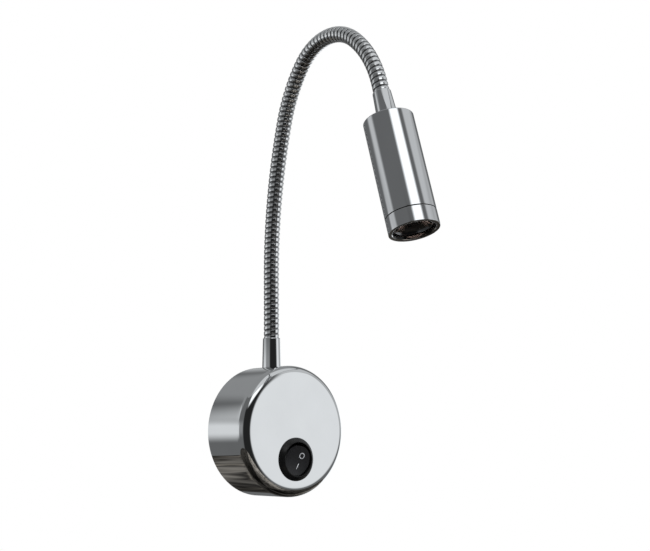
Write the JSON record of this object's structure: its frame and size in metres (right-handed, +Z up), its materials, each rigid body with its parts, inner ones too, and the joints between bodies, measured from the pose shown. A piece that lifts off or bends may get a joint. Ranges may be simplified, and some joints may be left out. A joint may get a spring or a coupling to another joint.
{
  "type": "wall reading lamp",
  "caption": "Bedside wall reading lamp: chrome round base with a rocker switch, bendable gooseneck arm and a slim tubular LED spotlight head.",
  "frame": {"origin": "centre of the wall plate's back face, on the wall", "axes": "+Y into the wall, so the lamp stands out along -Y; +Z up; +X to the right seen from the front"},
  "size_m": [0.07, 0.1374, 0.2493],
  "materials": {
    "chrome_base": "polished chrome plate",
    "chrome_arm": "polished chrome plate on steel wire",
    "chrome_head": "satin chrome plate",
    "plate_steel": "zinc plated",
    "screw_steel": "zinc plated",
    "coil_steel": "bare spring steel",
    "switch_black": "semi-gloss moulded black",
    "rocker_black": "semi-gloss moulded black",
    "contact_brass": "bright",
    "grommet_rubber": "matte",
    "block_ivory": "moulded",
    "driver_white": "moulded",
    "board_green": "solder mask",
    "component_black": "moulded",
    "slug_aluminium": "turned",
    "light_board_white": "white solder mask",
    "chip_yellow": "phosphor",
    "holder_black": "matte",
    "lens_clear": "clear",
    "lead_black": "matte",
    "wire_brown": "extruded sleeve"
  },
  "bodies": {
    "base": {"base_cup": "chrome_base", "wall_plate": "plate_steel", "lock_screw": "screw_steel", "cable_grommet": "grommet_rubber", "terminal_block": "block_ivory", "terminal_screws": "screw_steel", "driver_case": "driver_white", "driver_lid": "driver_white", "driver_board": "board_green", "driver_components": "component_black", "plate_screws": "screw_steel", "switch_housing": "switch_black", "switch_terminals": "contact_brass", "wire_receptacles": "contact_brass", "base_wires": "wire_brown", "base_ferrule": "chrome_arm", "saddle_washer": "plate_steel", "base_nut": "screw_steel", "gooseneck_hose": "chrome_arm", "led_lead": "lead_black", "arm_coil_00": "coil_steel"},
    "rocker": {"switch_rocker": "rocker_black", "switch_plunger": "driver_white", "switch_spring": "coil_steel"},
    "contact": {"switch_contact": "contact_brass"},
    "arm_01": {"arm_coil_01": "coil_steel"},
    "arm_02": {"arm_coil_02": "coil_steel"},
    "arm_03": {"arm_coil_03": "coil_steel"},
    "arm_04": {"arm_coil_04": "coil_steel"},
    "arm_05": {"arm_coil_05": "coil_steel"},
    "arm_06": {"arm_coil_06": "coil_steel"},
    "head": {"arm_coil_07": "coil_steel", "head_ferrule": "chrome_arm", "head_nut": "screw_steel", "head_body": "chrome_head", "front_ring": "chrome_head", "heat_slug": "slug_aluminium", "light_board": "light_board_white", "light_board_screws": "screw_steel", "light_chip": "chip_yellow", "lens_holder": "holder_black", "lens": "lens_clear"}
  },
  "joints": [
    {"name": "rocker_tilt", "type": "hinge", "parent": "base", "child": "rocker", "pos_m": [0, -0.0285, -0.015], "axis": [0.8704, 0, -0.4924], "range_deg": [-16, 0]},
    {"name": "contact_rock", "type": "hinge", "parent": "base", "child": "contact", "pos_m": [0, -0.0218, -0.015], "axis": [0.8704, 0, -0.4924], "range_deg": [0, 14]},
    {"name": "sway", "type": "hinge", "parent": "base", "child": "arm_01", "pos_m": [0, -0.011, 0.06698], "axis": [0, 1, 0], "range_deg": [-35, 35], "deforming": ["gooseneck_hose", "led_lead"]},
    {"name": "lower_bend_1", "type": "hinge", "parent": "arm_01", "child": "arm_02", "pos_m": [0, -0.01405, 0.12864], "axis": [1, 0, 0], "range_deg": [-14, 10], "deforming": ["gooseneck_hose", "led_lead"]},
    {"name": "lower_bend_2", "type": "hinge", "parent": "arm_02", "child": "arm_03", "pos_m": [0, -0.02708, 0.18115], "axis": [1, 0, 0], "range_deg": [-14, 10], "deforming": ["gooseneck_hose", "led_lead"]},
    {"name": "upper_bend_1", "type": "hinge", "parent": "arm_03", "child": "arm_04", "pos_m": [0, -0.04199, 0.20259], "axis": [1, 0, 0], "range_deg": [-32, 6], "deforming": ["gooseneck_hose", "led_lead"]},
    {"name": "upper_bend_2", "type": "hinge", "parent": "arm_04", "child": "arm_05", "pos_m": [0, -0.05812, 0.20997], "axis": [1, 0, 0], "range_deg": [-32, 6], "deforming": ["gooseneck_hose", "led_lead"]},
    {"name": "upper_bend_3", "type": "hinge", "parent": "arm_05", "child": "arm_06", "pos_m": [0, -0.07568, 0.20747], "axis": [1, 0, 0], "range_deg": [-32, 6], "deforming": ["gooseneck_hose", "led_lead"]},
    {"name": "upper_bend_4", "type": "hinge", "parent": "arm_06", "child": "head", "pos_m": [0, -0.09477, 0.18973], "axis": [1, 0, 0], "range_deg": [-32, 6], "deforming": ["gooseneck_hose", "led_lead"]}
  ],
  "couplings": [
    {"joint": "contact_rock", "follows": "rocker_tilt", "ratio": -0.875},
    {"joint": "lower_bend_2", "follows": "lower_bend_1", "ratio": 1},
    {"joint": "upper_bend_2", "follows": "upper_bend_1", "ratio": 1},
    {"joint": "upper_bend_3", "follows": "upper_bend_1", "ratio": 1},
    {"joint": "upper_bend_4", "follows": "upper_bend_1", "ratio": 1}
  ]
}
